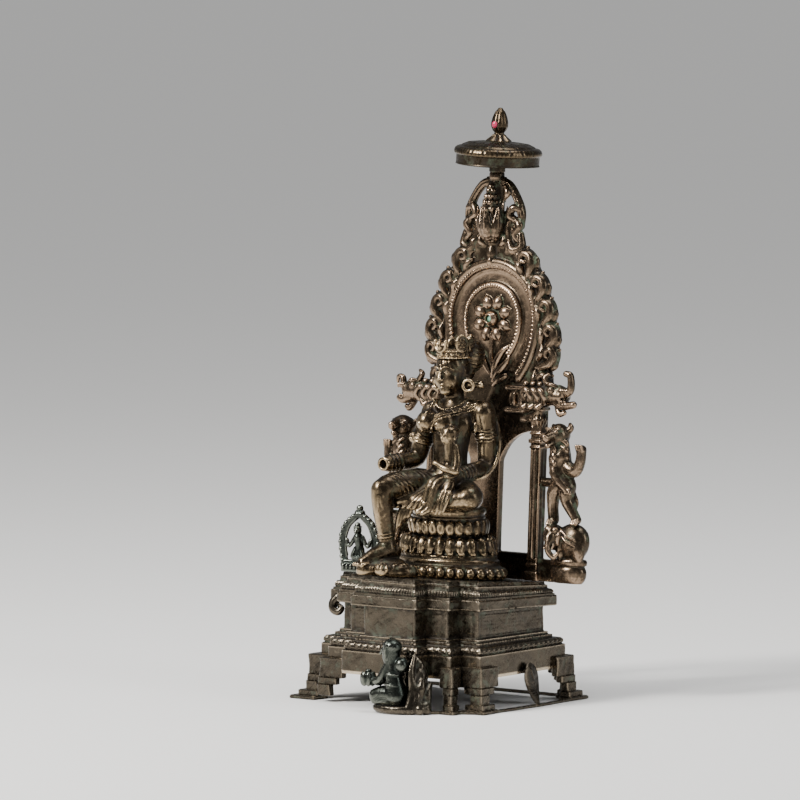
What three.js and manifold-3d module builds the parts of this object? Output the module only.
// Enthroned goddess, a small South Asian bronze on a tiered pedestal.
// Millimetres, +Z up, the goddess looks along -Y, and her left side is +X.
import * as THREE from "three";
import { mergeVertices } from "three/addons/utils/BufferGeometryUtils.js";
import Module from "manifold-3d";

const wasm = await Module();
wasm.setup();

// Driving dimensions of the pedestal, a slab on a moulded base with feet.
const SLAB_HALF_WIDTH = 47.5;
const SLAB_DEPTH = 65.5;
const STEP_DEPTH = 9.5;
const SECOND_HALF_WIDTH = 35.75;
const CENTRE_LEFT = -19.5;
const CENTRE_RIGHT = 22;
const BOARD_BOTTOM = 16.5;
const SLAB_BOTTOM = 50;
const SLAB_TOP = 55.4;
const PEDESTAL_TOP = 64.4;
const WALL = 3;
const DONOR_SEAT = 4.4;

// The castings are uneven: what lies above the base board drops toward the back.
const SLAB_DROP = 0.035;
const TOP_DROP = 0.075;
const DROP_STARTS = 29;
const DROP_ENDS = 86;

// Castings stand this far off each other, so that no two solids share a face.
const SEAM = 0.3;
const SEAT_BOTTOM = PEDESTAL_TOP + SEAM;

// Driving dimensions of the lotus seat, the throne back and the parasol.
const SEAT_CENTRE = [5, 30.5];
const SEAT_HALF = [32, 22];
const PETALS = 24;
const BEADS = 32;
const AXIS_X = 6.3;
const THRONE_Y = 57.6;
const THRONE_LEAN = 0.055;
const POST_X = 33;
const HALO_X = 2;
const HALO_CENTRE = 191.5;
const HALO_RADIUS = 27;
const CREST_TOP = 264.6;
const RIM_RADIUS = 22.3;
const RIM_HEIGHT = 275.4;
const TIP_HEIGHT = 298;

const BRONZE = { color: 0x4a3c2c, metalness: 0.9, roughness: 0.42 };
const GREEN_BRONZE = { color: 0x27302a, metalness: 0.9, roughness: 0.35 };
const RUBY = { color: 0xb0385a, metalness: 0, roughness: 0.2 };
const TURQUOISE = { color: 0x2fa08c, metalness: 0, roughness: 0.45 };

const radians = THREE.MathUtils.degToRad;
const spread = (count, make) => Array.from({ length: count }, (_, i) => make(i));

// Closed geometry to a solid, and a solid back to geometry.
function solidOf(geometry) {
  const bare = geometry.clone();
  bare.deleteAttribute("normal");
  bare.deleteAttribute("uv");
  const merged = mergeVertices(bare, 1e-4);
  const triVerts = new Uint32Array(merged.index.array);
  const vertProperties = merged.attributes.position.array;
  return new wasm.Manifold(new wasm.Mesh({ numProp: 3, vertProperties, triVerts }));
}

function geometryOf(solid) {
  const { vertProperties, triVerts } = solid.getMesh();
  const geometry = new THREE.BufferGeometry();
  geometry.setAttribute("position", new THREE.BufferAttribute(vertProperties, 3));
  geometry.setIndex(new THREE.BufferAttribute(triVerts, 1));
  return geometry;
}

const join = (...solids) => solids.flat(Infinity).reduce((whole, next) => whole.add(next));

// Moves every vertex of a solid by a rule.
function bend(solid, rule) {
  const geometry = geometryOf(solid);
  const spots = geometry.attributes.position;
  for (let i = 0; i < spots.count; i++) spots.setXYZ(i, ...rule(spots.getX(i), spots.getY(i), spots.getZ(i)));
  return solidOf(geometry);
}

// Thins a mesh: a corner moves onto its neighbour where that shifts no face by more than the tolerance.
function thin(solid, tolerance = 0.3) {
  const geometry = geometryOf(solid);
  const spots = geometry.attributes.position;
  const points = spread(spots.count, (i) => new THREE.Vector3().fromBufferAttribute(spots, i));
  const faces = spread(geometry.index.count / 3, (i) => Array.from(geometry.index.array.slice(3 * i, 3 * i + 3)));
  const around = points.map(() => new Set());
  faces.forEach((face, f) => face.forEach((v) => around[v].add(f)));

  const triangle = (face) => new THREE.Triangle(...face.map((v) => points[v]));
  const neighbours = (v) => new Set([...around[v]].flatMap((f) => faces[f]).filter((w) => w !== v));
  const swapped = (face, from, to) => face.map((v) => (v === from ? to : v));
  const keepsFace = (face, from, to) => {
    const before = triangle(face);
    if (before.getArea() < 0.001) return true;
    const plane = before.getPlane(new THREE.Plane());
    if (Math.abs(plane.distanceToPoint(points[to])) > tolerance) return false;
    if (face.includes(to)) return true;
    const after = triangle(swapped(face, from, to));
    return after.getArea() > 0.001 && after.getNormal(new THREE.Vector3()).dot(plane.normal) > 0.6;
  };
  const canMove = (from, to) => {
    const far = neighbours(to);
    const shared = [...neighbours(from)].filter((v) => far.has(v));
    return shared.length === 2 && [...around[from]].every((f) => keepsFace(faces[f], from, to));
  };
  const move = (from, to) => {
    for (const f of around[from]) {
      if (faces[f].includes(to)) faces[f].forEach((v) => v !== from && around[v].delete(f));
      else around[to].add(f);
      faces[f] = faces[f].includes(to) ? null : swapped(faces[f], from, to);
    }
    around[from].clear();
  };

  for (let moved = 1; moved > 0; ) {
    moved = 0;
    for (let from = 0; from < points.length; from++) {
      const near = [...neighbours(from)].sort((a, b) => points[from].distanceTo(points[a]) - points[from].distanceTo(points[b]));
      const to = near.find((v) => canMove(from, v));
      if (to === undefined) continue;
      move(from, to);
      moved += 1;
    }
  }
  geometry.setIndex(faces.filter(Boolean).flat());
  return solidOf(geometry.toNonIndexed());
}

// An ellipsoid: tilt turns it about X, roll about Y, and yaw about Z last, in degrees.
function ball(centre, radii, { yaw = 0, tilt = 0, roll = 0, sides = 7, rows = 4 } = {}) {
  const geometry = new THREE.SphereGeometry(1, sides, rows).rotateX(Math.PI / 2).scale(...radii);
  geometry.rotateX(radians(tilt)).rotateY(radians(roll)).rotateZ(radians(yaw));
  return solidOf(geometry.translate(...centre));
}

function box([x0, x1], [y0, y1], [z0, z1]) {
  const geometry = new THREE.BoxGeometry(x1 - x0, y1 - y0, z1 - z0);
  return solidOf(geometry.translate((x0 + x1) / 2, (y0 + y1) / 2, (z0 + z1) / 2));
}

// A cylinder or cone between two points.
function rod(from, to, startRadius, endRadius = startRadius, sides = 12) {
  const [start, end] = [new THREE.Vector3(...from), new THREE.Vector3(...to)];
  const along = end.clone().sub(start);
  const geometry = new THREE.CylinderGeometry(endRadius, startRadius, along.length(), sides);
  const turn = new THREE.Quaternion().setFromUnitVectors(new THREE.Vector3(0, 1, 0), along.clone().normalize());
  const middle = start.add(end).multiplyScalar(0.5);
  return solidOf(geometry.applyQuaternion(turn).translate(middle.x, middle.y, middle.z));
}

// Skins rings of equal length in order; cap lists the triangles that close each end.
function skin(rings, cap) {
  const count = rings[0].length;
  const index = [];
  for (let ring = 0; ring + 1 < rings.length; ring++) {
    for (let i = 0; i < count; i++) {
      const here = ring * count + i;
      const next = ring * count + ((i + 1) % count);
      index.push(here, next, next + count, here, next + count, here + count);
    }
  }
  const last = (rings.length - 1) * count;
  for (const [a, b, c] of cap) index.push(a, c, b, last + a, last + b, last + c);
  const geometry = new THREE.BufferGeometry();
  const positions = rings.flat().flatMap((point) => point.toArray());
  geometry.setAttribute("position", new THREE.Float32BufferAttribute(positions, 3));
  geometry.setIndex(index);
  return solidOf(geometry);
}

const fan = (count) => spread(count - 2, (i) => [0, i + 1, i + 2]);

// A limb through points, with a radius at each and domed ends.
function limb(points, radii, sides = 6) {
  const path = points.map((point) => new THREE.Vector3(...point));
  const end = path.length - 1;
  const tangents = path.map((_, i) =>
    path[Math.min(i + 1, end)].clone().sub(path[Math.max(i - 1, 0)]).normalize(),
  );
  const across = new THREE.Vector3(0, 0, 1).cross(tangents[0]);
  if (across.length() < 0.2) across.set(1, 0, 0);
  const ringAt = (centre, tangent, radius) => {
    across.addScaledVector(tangent, -across.dot(tangent)).normalize();
    const up = tangent.clone().cross(across);
    return spread(sides, (i) => {
      const turn = (2 * Math.PI * i) / sides;
      const out = across.clone().multiplyScalar(Math.cos(turn)).addScaledVector(up, Math.sin(turn));
      return centre.clone().addScaledVector(out, radius);
    });
  };
  const rings = path.map((centre, i) => ringAt(centre, tangents[i], radii[i]));
  const dome = (i, sign) => {
    const tip = path[i].clone().addScaledVector(tangents[i], 0.55 * sign * radii[i]);
    return rings[i].map((point) => tip.clone().addScaledVector(point.clone().sub(path[i]), 0.55));
  };
  return skin([dome(0, -1), ...rings, dome(end, 1)], fan(sides));
}

// A ring of wire about a centre, its axis turned from +Z.
function wireRing(centre, radius, wire, axis = [0, 0, 1], sides = 8) {
  const up = new THREE.Vector3(0, 0, 1);
  const turn = new THREE.Quaternion().setFromUnitVectors(up, new THREE.Vector3(...axis).normalize());
  return solidOf(new THREE.TorusGeometry(radius, wire, 4, sides).applyQuaternion(turn).translate(...centre));
}

// An oval stack: each level has a height and a scale, and may have a number and a depth of scallops.
function ovalStack([centreX, centreY], [halfX, halfY], levels, sides) {
  const rings = levels.map(([z, scale, count = 0, depth = 0]) =>
    spread(sides, (i) => {
      const turn = (2 * Math.PI * i) / sides;
      const reach = scale * (1 - depth * (1 - Math.abs(Math.cos((count * turn) / 2))));
      const x = centreX + halfX * reach * Math.cos(turn);
      return new THREE.Vector3(x, centreY + halfY * reach * Math.sin(turn), z);
    }),
  );
  return skin(rings, fan(sides));
}

// How far a height sinks for each millimetre toward the back.
function drop(z) {
  if (z <= DROP_STARTS || z >= DROP_ENDS) return 0;
  if (z < SLAB_BOTTOM) return (SLAB_DROP * (z - DROP_STARTS)) / (SLAB_BOTTOM - DROP_STARTS);
  if (z < SLAB_TOP) return SLAB_DROP;
  if (z < PEDESTAL_TOP) {
    return SLAB_DROP + ((TOP_DROP - SLAB_DROP) * (z - SLAB_TOP)) / (PEDESTAL_TOP - SLAB_TOP);
  }
  return Math.min(TOP_DROP, (TOP_DROP * (DROP_ENDS - z)) / (DROP_ENDS - SEAT_BOTTOM));
}

const settle = (solid) => bend(solid, (x, y, z) => [x, y, z - y * drop(z)]);

// What lies below the seat's underside or below the floor is cut away, so that castings sit flat.
const BELOW_SEAT = box([-100, 100], [-100, 150], [SEAT_BOTTOM - 40, SEAT_BOTTOM]);
const BELOW_FLOOR = box([-100, 100], [-100, 150], [-40, 0]);

// Pedestal: a square-cornered outline that steps forward twice at the front.
const slabOutline = [
  [-SLAB_HALF_WIDTH, SLAB_DEPTH],
  [-SLAB_HALF_WIDTH, 0],
  [-SECOND_HALF_WIDTH, 0],
  [-SECOND_HALF_WIDTH, -STEP_DEPTH],
  [CENTRE_LEFT, -STEP_DEPTH],
  [CENTRE_LEFT, -2 * STEP_DEPTH],
  [CENTRE_RIGHT, -2 * STEP_DEPTH],
  [CENTRE_RIGHT, -STEP_DEPTH],
  [SECOND_HALF_WIDTH, -STEP_DEPTH],
  [SECOND_HALF_WIDTH, 0],
  [SLAB_HALF_WIDTH, 0],
  [SLAB_HALF_WIDTH, SLAB_DEPTH],
].map(([x, y]) => new THREE.Vector2(x, y));

// Each corner of the outline moves out along both of its sides.
function outlineAt(offset, z) {
  const count = slabOutline.length;
  const outward = (i) => {
    const side = slabOutline[(i + 1) % count].clone().sub(slabOutline[i % count]).normalize();
    return new THREE.Vector2(side.y, -side.x);
  };
  return slabOutline.map((corner, i) => {
    const push = outward(i).add(outward(i + count - 1));
    return new THREE.Vector3(corner.x + offset * push.x, corner.y + offset * push.y, z);
  });
}

// A stack of mouldings from offsets against heights.
function mouldings(profile) {
  const rings = profile.map(([offset, z]) => outlineAt(offset, z));
  return skin(rings, THREE.ShapeUtils.triangulateShape(slabOutline, []));
}

const pedestalProfile = [
  [3.3, BOARD_BOTTOM],
  [3.3, 28.3],
  [2.3, 28.4],
  [2.4, 30],
  [1.4, 32],
  [-1.5, 32.1],
  [-1.5, 33.8],
  [-3.2, 33.9],
  [-3.2, 35.5],
  [-4.8, 35.6],
  [-4.8, SLAB_BOTTOM],
  [0, SLAB_BOTTOM + 0.1],
  [0, SLAB_TOP],
  [-0.8, SLAB_TOP + 0.1],
  [-0.8, 56.5],
  [-1.6, 56.6],
  [-1.4, 58.2],
  [-2.2, 59.8],
  [-3.4, 59.9],
  [-3.4, 62.4],
  [-4.2, 62.5],
  [-4.5, PEDESTAL_TOP],
];
const hollowProfile = [
  [3.3 - WALL, BOARD_BOTTOM - 1],
  [3.3 - WALL, 29],
  [-4.8 - WALL, 33],
  [-4.8 - WALL, PEDESTAL_TOP - 1.5 * WALL],
];

// A foot folds round a corner of the base: each level has its heights, offset, two widths and thickness.
function cornerFoot([cornerX, cornerY], [outX, outY], levels) {
  const sorted = (a, b) => [Math.min(a, b), Math.max(a, b)];
  return levels.map(([bottom, top, offset, front, side, thickness]) => {
    const x = cornerX + outX * offset;
    const y = cornerY + outY * offset;
    const along = box(sorted(x, x - outX * front), sorted(y, y - outY * thickness), [bottom, top]);
    const back = box(sorted(x, x - outX * thickness), sorted(y, y - outY * side), [bottom, top]);
    return along.add(back);
  });
}

const bracket = (front, side, flare) => [
  [12.5, 22.6, 6.4 + flare, front, side, 4.5 + flare],
  [9, 12.6, 6.8 + flare, 0.78 * front, 0.78 * side, 4.5 + flare],
];
const leg = (front, side, flare, bottom = 4) => [[bottom, 9.1, 7.2 + flare, front, side, 5 + flare]];
const plate = (front, side, flare) => [
  [1.7, 4.5, 9.4 + flare, front, side, 7 + flare],
  [0, 1.8, 11.4 + 1.4 * flare, front + 3, side + 3, 9 + flare],
];

function feet() {
  const outer = [...bracket(15, 15, 0), ...leg(8, 8, 0), ...plate(12, 12, 0)];
  const flared = [...bracket(15, 15, 1.8), ...leg(8, 8, 1.8), ...plate(13, 12, 2.4)];
  const second = [...bracket(8, 9, 0), ...leg(5.5, 6, 0), ...plate(6.5, 7, 0)];
  const broken = [...bracket(15, 9, 0), ...leg(8, 5, 0, 3.2)];
  return [
    cornerFoot([-SLAB_HALF_WIDTH, 0], [-1, -1], flared),
    cornerFoot([SLAB_HALF_WIDTH, 0], [1, -1], outer),
    cornerFoot([-SLAB_HALF_WIDTH, SLAB_DEPTH], [-1, 1], outer),
    cornerFoot([SLAB_HALF_WIDTH, SLAB_DEPTH], [1, 1], outer),
    cornerFoot([SECOND_HALF_WIDTH, -STEP_DEPTH], [1, -1], second),
    cornerFoot([-SECOND_HALF_WIDTH, -STEP_DEPTH], [-1, -1], broken),
  ];
}

// A flat strip along the floor between two points.
function strip([x0, y0], [x1, y1], width, height) {
  const length = Math.hypot(x1 - x0, y1 - y0);
  const geometry = new THREE.BoxGeometry(length, width, height).rotateZ(Math.atan2(y1 - y0, x1 - x0));
  return solidOf(geometry.translate((x0 + x1) / 2, (y0 + y1) / 2, height / 2));
}

function floorStrips() {
  const side = SLAB_HALF_WIDTH + 9.5;
  return [
    strip([side, -2], [side + 1.2, 33], 3, 1.5),
    strip([side + 1.2, 32], [side, 68], 3, 1.5),
    strip([-side, SLAB_DEPTH + 9], [side, SLAB_DEPTH + 9], 3, 1.5),
    strip([26, -27], [SLAB_HALF_WIDTH + 6, -9.5], 3, 1.5),
  ];
}

// The tongue that stands in the opening of the right side.
function tongue() {
  const shape = new THREE.Shape();
  shape.moveTo(6.5, 0.4);
  shape.quadraticCurveTo(0.5, 8, -1.5, 16);
  shape.absarc(3, 17, 4.6, Math.PI * 0.97, 0, true);
  shape.quadraticCurveTo(8, 10, 8.4, 0.4);
  const geometry = new THREE.ExtrudeGeometry(shape, { depth: 2.2, bevelEnabled: false, curveSegments: 5 });
  return solidOf(geometry.rotateX(Math.PI / 2).rotateZ(Math.PI / 2).translate(SLAB_HALF_WIDTH + 2.8, 38.5, 0));
}

// The rough lump that stands in for the right leg of the centre, and a curl under the slab's left end.
function roughLeg() {
  const lump = [
    ball([25, -22.5, 13], [7.5, 5.5, 14]),
    ball([27, -25, 4], [9, 7, 6]),
    ball([17, -29.5, 2.5], [13, 8, 4], { sides: 9 }),
  ];
  const donorRoom = box([-20, 26.4], [-60, -22.8], [DONOR_SEAT - SEAM, 60]);
  return join(lump).subtract(BELOW_FLOOR).subtract(donorRoom);
}

const curl = () => limb([[-44, -0.5, 51], [-46, -2, 47], [-43, -2.5, 45], [-41, -1, 46]], [2.4, 2.2, 2, 1.5], 5);

// The donor kneels on the right of the front, facing the middle.
function donor() {
  const figure = join(
    ball([15.5, -30, 30.2], [5, 4.6, 7.8], { roll: 10, rows: 5 }),
    ball([21.6, -29.5, 24.4], [3.6, 3.6, 3.8]),
    limb([[16, -30, 26], [17, -30, 18], [18.5, -29.5, 9]], [4, 4.6, 5.8]),
    limb([[13.5, -31, 24.5], [10, -32.5, 14.5], [5.5, -33, 15.5]], [2.2, 2.2, 1.8], 5),
    limb([[19, -30, 8.5], [12, -31, 9.5], [7.5, -32, 8.6]], [5, 4.4, 3.8]),
    limb([[7.5, -32, 6.6], [19, -30.5, 5.8]], [3, 3.2], 5),
    ball([3.4, -33, 17], [4.6, 4.2, 4.8]),
  );
  return thin(figure.subtract(box([-30, 60], [-60, 0], [-10, DONOR_SEAT])));
}

function pedestal() {
  const body = settle(mouldings(pedestalProfile)).subtract(settle(mouldings(hollowProfile)));
  return thin(join(body, feet(), floorStrips(), tongue(), roughLeg(), curl()));
}

// Lotus seat: a ring of beads, a banded waist and two rows of petals.
const beadLevels = [
  [SEAT_BOTTOM, 0.97, BEADS, 0.05],
  [69.6, 0.97, BEADS, 0.05],
];
const lotusLevels = [
  [66, 0.88],
  [73.2, 0.88],
  [75.4, 0.83],
  [76.6, 0.81, PETALS, 0.1],
  [80.4, 0.78, PETALS, 0.09],
  [84, 0.62],
  [87, 0.65, PETALS, 0.08],
  [91, 0.69, PETALS, 0.1],
  [92.2, 0.62],
  [95.8, 0.65],
  [97.4, 0.61],
];

// The pad and the lotus bud below the hanging foot.
const footRest = () => [
  limb([[-8, 4, 70.5], [-13.5, -4, 69.6], [-18.5, -12, 68.6]], [3.6, 4.4, 3.6]),
  limb([[-4.5, -12, 67], [2, -6, 67], [8.5, 3, 67.4]], [4.3, 3.8, 4.1]),
  limb([[-13, -3, 68.4], [-2, -9.5, 67]], [2.6, 2.6], 5),
];

function head() {
  return [
    limb([[5, 37.5, 147], [4.6, 36.5, 158]], [5.6, 5], 8),
    ball([4, 35.4, 165], [7.4, 9, 11.6], { yaw: -8, sides: 9, rows: 6 }),
    ball([3, 26.6, 163.4], [1.2, 1.7, 2.6], { yaw: -8, sides: 4 }),
    ball([6.6, 43, 173], [8.4, 8.4, 9.6], { rows: 5 }),
    ball([9.8, 44.5, 166.4], [5, 4.6, 6]),
  ];
}

// Crown: a band with upright leaves.
function crown() {
  const [middleX, middleY] = [4.2, 36.6];
  const leaf = (turn, width) => {
    const x = middleX + 8.4 * Math.sin(radians(turn));
    const y = middleY - 9.2 * Math.cos(radians(turn));
    return ball([x, y, 179.8], [width, 1.4, 4.9], { yaw: turn, sides: 4, rows: 5 });
  };
  const band = [[170.8, 0.97], [177, 0.97]];
  return [ovalStack([middleX, middleY], [9, 9.9], band, 10), leaf(-8, 4.2), leaf(52, 3.8), leaf(-68, 3.8)];
}

const earRing = (x, side) => [
  wireRing([x, 34.6, 159.4], 2.5, 1.1, [0.35 * side, -1, 0]),
  rod([x - 0.5 * side, 36.5, 160], [x + 4.6 * side, 39.4, 159.8], 1.8, 1.8, 7),
  limb([[x - 4 * side, 37, 166], [x - 0.6 * side, 36.2, 161.6]], [2, 1.6], 5),
];

function torso() {
  return [
    ball([6, 32.5, 104], [15.5, 12.5, 9]),
    ball([5, 30, 113], [9.5, 8.5, 8]),
    limb([[5.5, 32, 110], [5.4, 33.6, 122], [5, 35, 134], [4.6, 37, 143]], [9.6, 7.2, 9, 8.4], 8),
    ball([4.8, 36.4, 139.5], [13, 7.6, 9.5], { yaw: 12, rows: 5 }),
    ball([-1, 29.8, 138.4], [4.6, 4.6, 4.6]),
    ball([10.4, 31.6, 138.4], [4.6, 4.6, 4.6]),
  ];
}

// The right hand is lost: its forearm ends at the bracelets.
function arms() {
  const right = [[-11.6, 34.5, 144.6], [-13.4, 31.5, 133], [-14.4, 28.6, 121.6], [-17, 18.5, 119], [-20, 8, 118]];
  const left = [[19.5, 40.5, 145.4], [19.6, 43, 132], [19.2, 42, 119], [18.2, 32, 115.6], [15.6, 21, 112.6]];
  const fingers = spread(4, (i) => {
    const x = 15.2 + 1.6 * i;
    return limb([[x, 10.6 + 0.3 * i, 105], [x + 0.2, 6.4 + 0.3 * i, 97.6 + 0.4 * Math.abs(i - 1)]], [1.3, 1], 5);
  });
  return [
    limb(right, [5.6, 5, 4.3, 4.1, 3.6], 8),
    limb(left, [5.8, 5.1, 4.4, 3.6, 2.9], 8),
    limb([[-11, 34.5, 146.4], [4.5, 37.6, 148.6], [19, 41, 147]], [4.6, 4.8, 4.8]),
    wireRing([-13.8, 30.8, 129.6], 4.9, 1.2, [-0.15, -0.25, -1]),
    wireRing([19.5, 43, 133.4], 5.2, 1.2, [0, 0.1, -1]),
    ball([17.4, 14.4, 108.4], [3.8, 6.2, 2.5], { tilt: 44 }),
    fingers,
    limb([[14.4, 16, 110], [11.4, 12.4, 105.6]], [1.4, 1], 5),
  ];
}

function legs() {
  const hanging = [[-1, 28, 106.5], [-9, 12.5, 108.8], [-15.4, -0.3, 108.4], [-14.8, -1, 98], [-12.2, 1.2, 84]];
  return [
    limb(hanging, [9.2, 7.8, 6.4, 4.9, 3.9], 8),
    limb([[-12.2, 1.2, 84], [-8.8, 4.6, 77.2]], [4, 3.5]),
    ball([-13.4, -3.6, 74.2], [3.6, 10.8, 3.4], { tilt: 14, yaw: -32 }),
    limb([[13, 30, 104.5], [22, 22, 105], [29, 16, 104.8]], [9, 7.4, 5.6], 8),
    limb([[28.6, 15, 103.4], [12, 10.6, 102.6], [-5, 8.2, 102.6]], [5, 4.2, 3]),
    limb([[-4, 8.2, 102.8], [-10.4, 5.6, 101.4]], [3, 2]),
  ];
}

// The folded end of a sash hangs between the shin and the seat.
const sash = () => [
  limb([[-4, 10, 100.5], [-7.5, 8, 95.5], [-8.8, 7, 86.5]], [3.4, 2.8, 1.5]),
  limb([[-2, 15, 99], [-5.5, 12, 96], [-8, 8, 95]], [3.4, 3, 2]),
];

function child() {
  return [
    ball([13.2, 20, 137], [4.4, 4.4, 5.2]),
    limb([[14.4, 20.4, 131.6], [14.8, 20.4, 124], [14.2, 20.4, 116]], [3.4, 3.6, 4.6]),
    limb([[17.2, 19, 129.4], [18, 17.4, 119.6], [13, 14.6, 118.6], [9, 13.6, 119.8]], [1.9, 1.7, 1.5, 1.4], 5),
    limb([[11.6, 21.5, 129.4], [8.4, 20, 123]], [1.8, 1.5], 5),
    limb([[13.4, 18, 114.4], [9.6, 9.4, 113], [7.4, 5.2, 100.6], [4.8, 3, 99.4]], [3, 2.4, 1.7, 1.5], 5),
    limb([[15.4, 17, 114], [13, 9, 112], [10.8, 4.8, 100.4], [8.4, 2.4, 99.2]], [3, 2.4, 1.7, 1.5], 5),
  ];
}

function goddess() {
  const seat = [ovalStack(SEAT_CENTRE, SEAT_HALF, beadLevels, 2 * BEADS), ovalStack(SEAT_CENTRE, SEAT_HALF, lotusLevels, 2 * PETALS)];
  const body = [torso(), head(), crown(), earRing(14, 1), earRing(-5.4, -1), arms(), legs(), sash(), child()];
  return thin(settle(join(seat, footRest(), body).subtract(BELOW_SEAT)));
}

// Throne back: parts are placed about its own upright middle plane, then leaned and moved.
const leanBack = (solid) =>
  bend(solid, (x, y, z) => [x + AXIS_X, y + THRONE_Y + THRONE_LEAN * (z - SEAT_BOTTOM), z]);

// A flat outline in the upright plane, thickened evenly about it.
function board(shape, thickness, curveSegments = 4) {
  const geometry = new THREE.ExtrudeGeometry(shape, { depth: thickness, bevelEnabled: false, curveSegments });
  return solidOf(geometry.rotateX(Math.PI / 2).translate(0, thickness / 2, 0));
}

const HALO_FOOT = 136;
const HALO_TOP = 231;
const LEAF_START = 158;
const HALO_WIDEST = 176;
const HALO_HALF_WIDTH = 42.4;
const HALO_LEAVES = 9;
const PANEL_HALF = 9.4;

// Half the width of the halo's outer edge against height.
function haloHalfWidth(z) {
  if (z < HALO_WIDEST) return HALO_HALF_WIDTH - 0.3 * (HALO_WIDEST - z);
  const rise = (z - HALO_WIDEST) / (HALO_TOP - HALO_WIDEST);
  return HALO_HALF_WIDTH * Math.sqrt(1 - 0.84 * rise ** 1.75);
}

// The halo's edge is a run of leaves, so its outline is scalloped; below it two windows open.
function haloShape() {
  const steps = 2 * HALO_LEAVES;
  const edge = spread(steps + 1, (i) => {
    const z = LEAF_START + ((HALO_TOP - LEAF_START) * i) / steps;
    const tooth = i % 2 ? 0.9 : -0.9;
    return [haloHalfWidth(z) + tooth, z];
  });
  const shape = new THREE.Shape();
  shape.moveTo(haloHalfWidth(HALO_FOOT), HALO_FOOT);
  for (const [half, z] of edge) shape.lineTo(HALO_X + half, z);
  for (const [half, z] of edge.reverse()) shape.lineTo(HALO_X - half, z);
  shape.lineTo(-haloHalfWidth(HALO_FOOT), HALO_FOOT);
  shape.lineTo(-POST_X, HALO_FOOT);
  shape.quadraticCurveTo(-PANEL_HALF - 6, HALO_FOOT, -PANEL_HALF, 120);
  shape.lineTo(PANEL_HALF, 120);
  shape.quadraticCurveTo(PANEL_HALF + 6, HALO_FOOT, POST_X, HALO_FOOT);
  return shape;
}

// A horseshoe rib: a round arch whose ends draw in toward the bottom.
function horseshoe(radius, wire, forward, steps, below) {
  const path = spread(steps + 1, (i) => {
    const turn = radians(-below + ((180 + 2 * below) * i) / steps);
    const sink = Math.min(0, Math.sin(turn));
    return [HALO_X + radius * Math.cos(turn), -forward, HALO_CENTRE + radius * (Math.sin(turn) + 0.35 * sink)];
  });
  return limb(path, path.map(() => wire), 4);
}

// A round flower of eight petals with a leafy stem.
function haloFlower() {
  const petals = spread(8, (i) => {
    const turn = radians(45 * i + 22.5);
    const at = [HALO_X + 6.6 * Math.cos(turn), -2.6, HALO_CENTRE + 6.6 * Math.sin(turn)];
    return ball(at, [3.5, 1.7, 2.5], { roll: -45 * i - 22.5, sides: 4, rows: 4 });
  });
  return [
    petals,
    rod([HALO_X, -1.8, HALO_CENTRE], [HALO_X, -4.2, HALO_CENTRE], 3.4, 3, 8),
    limb([[HALO_X, -2.6, 183], [2, -3, 172], [5, -3, 163]], [1.3, 1.5, 2.2], 5),
    limb([[HALO_X, -2.8, 174], [7, -3, 178], [9, -3, 172]], [1.2, 2, 1], 5),
    limb([[HALO_X, -2.8, 174], [-3, -3, 170], [-5, -3, 162]], [1.2, 2, 1], 5),
  ];
}

// The turquoise and the pocket that holds it.
const STONE_RADIUS = 1.5;
const stonePocket = () => rod([HALO_X, -3.4, HALO_CENTRE], [HALO_X, -6, HALO_CENTRE], STONE_RADIUS + SEAM, STONE_RADIUS + SEAM, 8);
const haloStone = () => rod([HALO_X, -3.7, HALO_CENTRE], [HALO_X, -4.9, HALO_CENTRE], STONE_RADIUS, 0.7 * STONE_RADIUS, 8);

// Crest: a bud of leaves between two arms that carry the parasol.
function crest() {
  const bothSides = (make) => [make(-1), make(1)];
  const arm = (side) => {
    const upper = [[2.5, 0, 263], [8, 0, 263], [14, 0, 256.4], [17.6, 0, 246], [15.6, 0, 233]];
    const scroll = [[15.6, -0.4, 233.5], [10.6, -0.6, 232], [8.4, -0.6, 228]];
    const mirrored = (points) => points.map(([x, y, z]) => [side * x, y, z]);
    return [limb(mirrored(upper), [2, 2.2, 2, 1.8, 2.4], 5), limb(mirrored(scroll), [3, 3, 3.4], 5)];
  };
  const leaves = (side) => [
    limb([[4 * side, -0.6, 236], [6.4 * side, -1, 242], [7 * side, -0.8, 250]], [3, 2.6, 1.2], 5),
    limb([[2.4 * side, -1.6, 238], [3.6 * side, -2.2, 246], [3 * side, -1.6, 254]], [3, 2.6, 1.2], 5),
  ];
  const stalk = [[0, -1.4, 221], [0, -1.6, 225], [0, -0.8, 231.4], [0, -1.2, 240], [0, -0.6, 250], [0, 0, 258]];
  return [
    bothSides(arm),
    bothSides(leaves),
    limb(stalk, [2, 3, 2.4, 5.8, 5.6, 4.2], 7),
    ovalStack([0, 0], [4.2, 3.8], [[257, 0.92], [CREST_TOP, 0.96]], 8),
  ];
}

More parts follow.
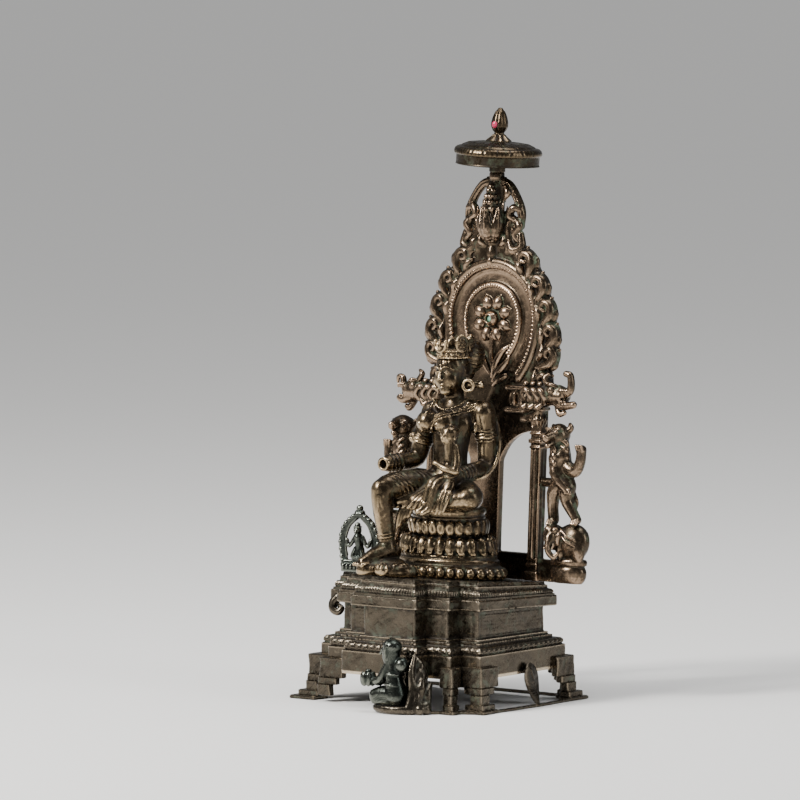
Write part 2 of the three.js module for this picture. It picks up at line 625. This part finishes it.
// One side of the throne: post, elephant, leogryph and makara; side is 1 on the goddess's left.
// On her right the beasts sit a little lower and farther out.
function throneSide(side) {
  const onRight = side < 0 ? 1 : 0;
  const place = (points, [outward, forward, down]) =>
    points.map(([x, y, z]) => [side * (x + onRight * outward), y - onRight * forward, z - onRight * down]);
  const beastLimb = (points, radii, shift = [1.5, 0, 2], sides = 5) => limb(place(points, shift), radii, sides);
  const beastBall = (centre, radii, shift = [1.5, 0, 2]) => ball(place([centre], shift)[0], radii);
  const collar = (z, grow, height) => {
    const half = 2.6 + grow;
    return box([side * POST_X - half, side * POST_X + half], [-3.7 - grow, 2.6 + grow * 0.5], [z, z + height]);
  };
  const post = [
    collar(SEAT_BOTTOM, 0, 85),
    collar(SEAT_BOTTOM, 0.9, 4.5),
    collar(130, 0.9, 2.2),
    ball([side * POST_X, -1, 141.5], [4.2, 4.6, 4.4]),
  ];
  const cushionLevels = [[SEAT_BOTTOM, 0.7], [67, 0.96], [70.6, 0.98], [71.4, 0.9], [72.2, 1], [74.8, 0.98]];
  const cushion = ovalStack([side * 54, -0.6], [10.8, 6.2], cushionLevels, 10);
  const level = [0, 0, 0];
  const elephant = [
    beastBall([57, -1.5, 82.4], [10, 6.2, 8.8], level),
    beastBall([48, -5, 84], [5.8, 5.6, 7], level),
    beastLimb([[47.6, -9.5, 84], [48.4, -10.8, 79], [51.4, -9.6, 76]], [2.4, 1.8, 1.5], level),
  ];
  const lowered = [-3, 0, 4];
  const leogryph = [
    beastLimb([[47.6, -3, 130], [48.8, -3, 122.6], [51.6, -3.4, 114.6], [54.4, -3.6, 109.4]], [5, 5.2, 4, 3.8], [1.5, 0, 2], 6),
    beastBall([47.6, -4, 135], [6, 6.4, 5.4], [3, 0, 1]),
    beastLimb([[47.4, -7, 134.4], [46.6, -13, 133]], [3.6, 2.6], [4.5, 0, -1]),
    beastBall([51.8, -2.4, 137.4], [2.8, 3, 3.6]),
    beastLimb([[52.6, -4, 120], [59, -4.6, 117], [62.8, -4.6, 122], [63.4, -4.4, 128.6]], [3, 2.6, 2.2, 2.4], lowered),
    beastLimb([[47, -5.4, 121.5], [49.6, -6, 113.5], [56.4, -6, 108]], [3, 2.3, 2.1], [1.5, 0, 2]),
    beastLimb([[52, -2, 111], [44.4, -2.6, 107], [43.8, -3, 100], [45.4, -3, 89]], [3.2, 3.2, 2.3, 2.4], level),
    beastLimb([[54, -4, 107], [53.6, -4, 101.6], [60.8, -4, 91]], [3.6, 2.6, 2.2], level),
    beastLimb([[33, 0, 110.4], [46, -0.6, 110.4]], [2.4, 2.8], level),
  ];
  const makaraShift = [1, 0, 2];
  const trunk = side < 0
    ? [[46, -3, 157], [50.6, -4, 156.6], [51.2, -4.4, 160.8], [54, -4.4, 161.4]]
    : [[46, -3, 157], [51.6, -4, 156.4], [55, -4.4, 158.6], [53, -4.4, 165]];
  const jawReach = side < 0 ? -3.6 : 0;
  const makara = [
    beastLimb([[28, -0.4, 152], [38, -1.6, 154.6], [47.6, -2.6, 154.4]], [8, 6.6, 4.4], makaraShift, 6),
    beastLimb(trunk, [3.2, 2.2, 1.5, 1.9 - 0.7 * onRight], makaraShift),
    beastLimb([[46, -3, 151.4], [51, -4, 149.4], [57 + jawReach, -4.4, 151]], [2.8, 1.9, 1.2], makaraShift),
    beastLimb([[45, -2, 149.5], [46.6, -2.6, 143]], [1.7, 1.5], makaraShift),
  ];
  return [post, cushion, elephant, leogryph, makara];
}

function throneBack() {
  const sideBar = (side) => {
    const [inner, outer] = [side * POST_X, side * 46];
    return box([Math.min(inner, outer), Math.max(inner, outer)], [-2.4, 2.4], [SEAT_BOTTOM, 74]);
  };
  const parts = [
    box([-POST_X - 1, POST_X + 1], [-2.6, 2.6], [SEAT_BOTTOM, 76]),
    sideBar(-1),
    sideBar(1),
    box([-PANEL_HALF, PANEL_HALF], [-2.2, 2.2], [SEAT_BOTTOM, 128]),
    board(haloShape(), 4.6),
    horseshoe(HALO_RADIUS, 1.9, 2.6, 14, 50),
    horseshoe(16, 1.5, 2.4, 12, 50),
    haloFlower(),
    crest(),
    throneSide(-1),
    throneSide(1),
  ];
  return thin(settle(leanBack(join(parts).subtract(BELOW_SEAT).subtract(stonePocket()))));
}

// Parasol: a domed disc with a hanging band below its rim, a short stem and a bud finial.
// Heights here are above the top of the crest.
const STEM_BOTTOM = 0.5;
const RIM = RIM_HEIGHT - CREST_TOP;
const TIP = TIP_HEIGHT - CREST_TOP;
const BUD = RIM + 15;
const PARASOL_TILT = 3;
const VIEW_SIDE = 38;
const parasolProfile = [
  [0, STEM_BOTTOM],
  [4.1, STEM_BOTTOM],
  [4.1, RIM - 5],
  [RIM_RADIUS - 2.4, RIM - 5],
  [RIM_RADIUS - 2, RIM - 6.8],
  [RIM_RADIUS - 0.9, RIM - 6.8],
  [RIM_RADIUS - 1.1, RIM - 1.7],
  [RIM_RADIUS, RIM - 1.2],
  [RIM_RADIUS - 0.8, RIM + 1.4],
  [14, RIM + 4.4],
  [6.4, RIM + 5.4],
  [2.7, RIM + 9.4],
  [4.4, BUD - 2],
  [3.4, BUD + 3.6],
  [1.8, TIP - 0.4],
  [0, TIP],
];

function parasol() {
  const lathe = new THREE.LatheGeometry(parasolProfile.map(([x, y]) => new THREE.Vector2(x, y)), 20);
  return solidOf(lathe.rotateX(Math.PI / 2));
}

const rubyShape = (grow = 0) => ball([0, -4.2, BUD - 1], [1.5 + grow, 1.1 + grow, 1.8 + grow], { sides: 6 });

// Votive image at the front left: an arched frame round a small standing figure.
function sideShrine() {
  const frame = new THREE.Shape();
  frame.moveTo(-8.4, SEAT_BOTTOM);
  frame.lineTo(-10.2, 74);
  frame.quadraticCurveTo(-11.2, 84, -6.4, 91);
  frame.lineTo(-1.8, 95);
  frame.lineTo(1.8, 95);
  frame.lineTo(6.4, 91);
  frame.quadraticCurveTo(11.2, 84, 10.2, 74);
  frame.lineTo(8.4, SEAT_BOTTOM);
  const opening = new THREE.Path();
  opening.moveTo(-6, 71);
  opening.lineTo(6, 71);
  opening.quadraticCurveTo(8, 82, 0, 89);
  opening.quadraticCurveTo(-8, 82, -6, 71);
  frame.holes.push(opening);
  const upperArm = (side) => limb([[2 * side, -1, 82], [5.4 * side, -1.6, 77.6], [7 * side, -1, 80]], [1.2, 1.1, 1.2], 5);
  const parts = [
    board(frame, 3.2, 3),
    box([-9, 9], [-4, 3], [SEAT_BOTTOM, 70.4]),
    limb([[0, -1, 69], [0.4, -1, 76], [-0.4, -1, 82]], [3.2, 2.6, 2.2], 5),
    ball([-0.6, -1.4, 85.4], [2.3, 2.2, 2.8], { sides: 5 }),
    upperArm(-1),
    upperArm(1),
    limb([[0, 0, 94], [0, 0, 97]], [1.8, 1.5], 5),
  ];
  const turn = radians(10);
  const turned = bend(join(parts), (x, y, z) => [
    -33.6 + x * Math.cos(turn) - y * Math.sin(turn),
    7 + x * Math.sin(turn) + y * Math.cos(turn),
    z,
  ]);
  return thin(settle(turned.subtract(BELOW_SEAT)));
}

function named(name, solid, look) {
  const mesh = new THREE.Mesh(geometryOf(solid), new THREE.MeshStandardMaterial(look));
  mesh.name = name;
  return mesh;
}

const group = new THREE.Group();
group.add(named("pedestal", pedestal(), BRONZE));
group.add(named("kneeling_donor", donor(), GREEN_BRONZE));
group.add(named("side_shrine", sideShrine(), GREEN_BRONZE));
group.add(named("goddess", goddess(), BRONZE));
group.add(named("throne_back", throneBack(), BRONZE));
group.add(named("turquoise", leanBack(haloStone()), TURQUOISE));

// The parasol stands on the crest and leans a little to the viewer's right.
const overhead = new THREE.Group();
overhead.position.set(AXIS_X, THRONE_Y + THRONE_LEAN * (CREST_TOP - SEAT_BOTTOM), CREST_TOP);
const towardViewer = new THREE.Vector3(Math.sin(radians(VIEW_SIDE)), -Math.cos(radians(VIEW_SIDE)), 0);
overhead.quaternion.setFromAxisAngle(towardViewer, -radians(PARASOL_TILT));
overhead.add(named("parasol", parasol().subtract(rubyShape(SEAM)), BRONZE));
overhead.add(named("ruby", rubyShape(), RUBY));
group.add(overhead);

// The origin is under the middle of the whole, on the floor.
const bounds = new THREE.Box3().setFromObject(group, true);
const middle = bounds.getCenter(new THREE.Vector3());
group.position.set(-middle.x, -middle.y, -bounds.min.z);

export default group;
